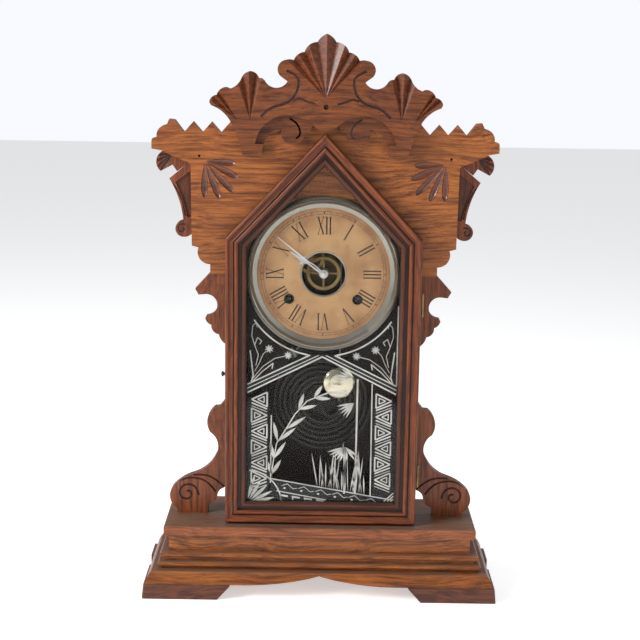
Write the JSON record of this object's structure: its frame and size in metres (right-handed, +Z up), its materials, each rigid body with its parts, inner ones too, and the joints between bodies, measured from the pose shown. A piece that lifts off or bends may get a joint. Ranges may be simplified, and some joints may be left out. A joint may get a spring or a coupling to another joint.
{
  "type": "mantel clock",
  "caption": "Carved oak gingerbread mantel clock with glazed gable door, round dial, swinging pendulum, coil gong and wheel train.",
  "frame": {"origin": "on the ground under the middle of the base", "axes": "+Z up, -Y to the front of the clock, +X to the viewer's right of the front"},
  "size_m": [0.362, 0.12, 0.5679],
  "materials": {
    "oak": "aged oil and shellac, satin",
    "case_wood": "dark stain, matt",
    "glass": "old window glass, stencilled from behind",
    "hinge_brass": "dull brass",
    "black_knob": "black lacquer",
    "tin": "dull tin",
    "dial_paper": "aged paper, matt",
    "bezel_brass": "lacquered brass, worn",
    "ring_brass": "dull brass",
    "hand_steel": "blued steel, worn bright",
    "gong_steel": "drawn steel wire",
    "spring_steel": "oiled spring steel",
    "cast_iron": "black japanned iron",
    "bob_brass": "tarnished brass",
    "movement_brass": "rolled brass, dull"
  },
  "bodies": {
    "case": {"back_board": "case_wood", "back_plate": "movement_brass", "base_back_rail": "case_wood", "base_front_moulding": "oak", "base_left_moulding": "oak", "base_right_moulding": "oak", "base_top_board": "oak", "case_left_side": "case_wood", "case_right_side": "case_wood", "case_roof": "case_wood", "corner_bracket_left": "oak", "corner_bracket_right": "oak", "crest_board": "oak", "dial_bezel": "bezel_brass", "dial_centre_ring": "ring_brass", "dial_pan": "tin", "dial_paper": "dial_paper", "feet_rear": "oak", "foot_front_left": "oak", "foot_front_right": "oak", "front_plate": "movement_brass", "front_stiles": "case_wood", "gong_base": "cast_iron", "gong_coil": "gong_steel", "headboard": "oak", "hinge_case_leaves": "hinge_brass", "movement_blocks": "case_wood", "side_fret_left": "oak", "side_fret_right": "oak", "strike_mainspring": "spring_steel", "time_mainspring": "spring_steel", "winding_grommets": "ring_brass"},
    "door": {"door_left_stile": "oak", "door_bottom_rail": "oak", "door_right_stile": "oak", "door_right_rafter": "oak", "door_left_rafter": "oak", "door_glass": "glass", "glass_beads": "case_wood", "hinge_door_leaves": "hinge_brass", "door_knob": "black_knob"},
    "minute": {"centre_arbor": "movement_brass", "minute_hand": "hand_steel", "hand_nut": "hand_steel"},
    "minute_wheel": {"minute_wheel": "movement_brass"},
    "hour": {"hour_wheel": "movement_brass", "hour_hand": "hand_steel"},
    "escape_wheel": {"escape_wheel": "movement_brass"},
    "third_wheel": {"third_wheel": "movement_brass"},
    "centre_wheel": {"centre_wheel": "movement_brass"},
    "second_wheel": {"second_wheel": "movement_brass"},
    "time_great_wheel": {"time_great_wheel": "movement_brass"},
    "time_winding": {"time_winding_arbor": "movement_brass"},
    "strike_second_wheel": {"strike_second_wheel": "movement_brass"},
    "strike_great_wheel": {"strike_great_wheel": "movement_brass"},
    "strike_winding": {"strike_winding_arbor": "movement_brass"},
    "pendulum": {"pendulum_rod": "gong_steel", "pendulum_bob": "bob_brass"},
    "verge": {"verge": "gong_steel"},
    "hammer": {"hammer": "gong_steel"}
  },
  "joints": [
    {"name": "door_hinge", "type": "hinge", "parent": "case", "child": "door", "pos_m": [0.1002, -0.0132, 0.21], "axis": [0, 0, 1], "range_deg": [0, 95]},
    {"name": "minute_turn", "type": "hinge", "parent": "case", "child": "minute", "pos_m": [0, 0, 0.331], "axis": [0, 1, 0], "continuous": true},
    {"name": "minute_wheel_turn", "type": "hinge", "parent": "case", "child": "minute_wheel", "pos_m": [-0.015, -0.0075, 0.34654], "axis": [0, 1, 0], "continuous": true},
    {"name": "hour_turn", "type": "hinge", "parent": "case", "child": "hour", "pos_m": [0, -0.011, 0.331], "axis": [0, 1, 0], "continuous": true},
    {"name": "escape_turn", "type": "hinge", "parent": "case", "child": "escape_wheel", "pos_m": [0.018, 0.02, 0.36235], "axis": [0, 1, 0], "continuous": true},
    {"name": "third_turn", "type": "hinge", "parent": "case", "child": "third_wheel", "pos_m": [0, 0.02, 0.3541], "axis": [0, 1, 0], "continuous": true},
    {"name": "centre_turn", "type": "hinge", "parent": "case", "child": "centre_wheel", "pos_m": [0, 0.02, 0.331], "axis": [0, 1, 0], "continuous": true},
    {"name": "second_turn", "type": "hinge", "parent": "case", "child": "second_wheel", "pos_m": [0.02373, 0.02, 0.3346], "axis": [0, 1, 0], "continuous": true},
    {"name": "time_great_turn", "type": "hinge", "parent": "case", "child": "time_great_wheel", "pos_m": [0.0345, 0.02, 0.305], "axis": [0, 1, 0], "continuous": true},
    {"name": "time_winding_turn", "type": "hinge", "parent": "case", "child": "time_winding", "pos_m": [0.0345, 0.02, 0.305], "axis": [0, 1, 0], "continuous": true},
    {"name": "strike_second_turn", "type": "hinge", "parent": "case", "child": "strike_second_wheel", "pos_m": [-0.02373, 0.02, 0.3346], "axis": [0, 1, 0], "continuous": true},
    {"name": "strike_great_turn", "type": "hinge", "parent": "case", "child": "strike_great_wheel", "pos_m": [-0.0345, 0.02, 0.305], "axis": [0, 1, 0], "continuous": true},
    {"name": "strike_winding_turn", "type": "hinge", "parent": "case", "child": "strike_winding", "pos_m": [-0.0345, 0.02, 0.305], "axis": [0, 1, 0], "continuous": true},
    {"name": "pendulum_swing", "type": "hinge", "parent": "case", "child": "pendulum", "pos_m": [0.018, 0.002, 0.381], "axis": [0, 1, 0], "range_deg": [-4, 4]},
    {"name": "verge_rock", "type": "hinge", "parent": "case", "child": "verge", "pos_m": [0.018, 0.0065, 0.381], "axis": [0, 1, 0], "range_deg": [-4, 4]},
    {"name": "hammer_lift", "type": "hinge", "parent": "case", "child": "hammer", "pos_m": [0.004, 0.035, 0.272], "axis": [0, 1, 0], "range_deg": [0, 14]}
  ],
  "couplings": [
    {"joint": "minute_wheel_turn", "follows": "minute_turn", "ratio": -0.33333},
    {"joint": "hour_turn", "follows": "minute_turn", "ratio": 0.083333},
    {"joint": "third_turn", "follows": "escape_turn", "ratio": -0.1},
    {"joint": "centre_turn", "follows": "escape_turn", "ratio": 0.01},
    {"joint": "second_turn", "follows": "escape_turn", "ratio": -0.0025},
    {"joint": "time_great_turn", "follows": "escape_turn", "ratio": 0.00041667},
    {"joint": "strike_great_turn", "follows": "strike_second_turn", "ratio": -0.16667},
    {"joint": "verge_rock", "follows": "pendulum_swing", "ratio": 1}
  ]
}
